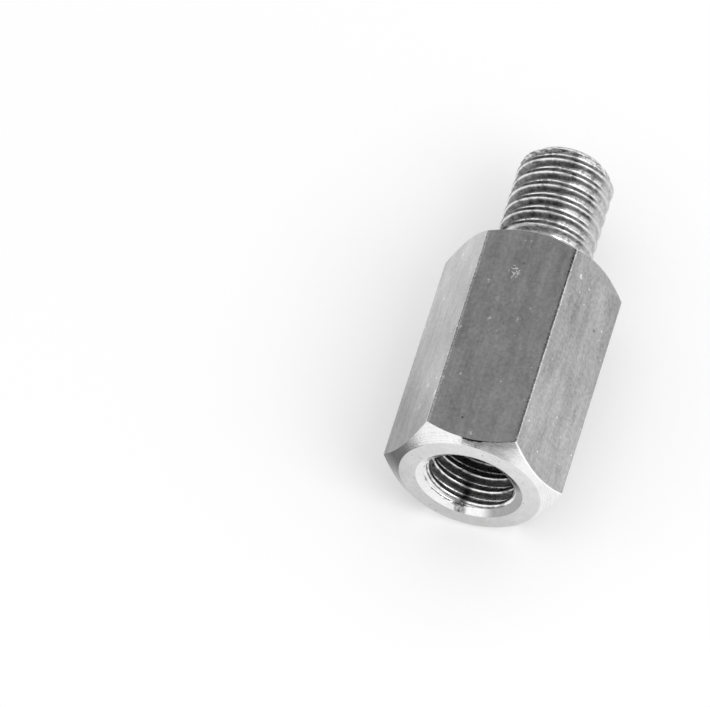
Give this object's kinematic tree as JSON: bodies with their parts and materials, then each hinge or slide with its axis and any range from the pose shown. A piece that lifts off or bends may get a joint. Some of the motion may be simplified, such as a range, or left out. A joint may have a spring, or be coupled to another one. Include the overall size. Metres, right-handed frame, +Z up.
{
  "type": "hex standoff",
  "caption": "Hexagonal steel standoff with a tapped blind hole in its front end, a necked threaded stud behind, and cone-chamfered ends.",
  "frame": {"origin": "on the surface it lies on, under the middle of its length and width", "axes": "+Y along the axis from the tapped hole's end to the stud's tip, +Z up and square to the flat it lies on"},
  "size_m": [0.0092, 0.0194, 0.0079],
  "materials": {
    "steel": "drawn flats, turned ends and threads"
  },
  "bodies": {
    "root": {"standoff": "steel"}
  },
  "joints": []
}
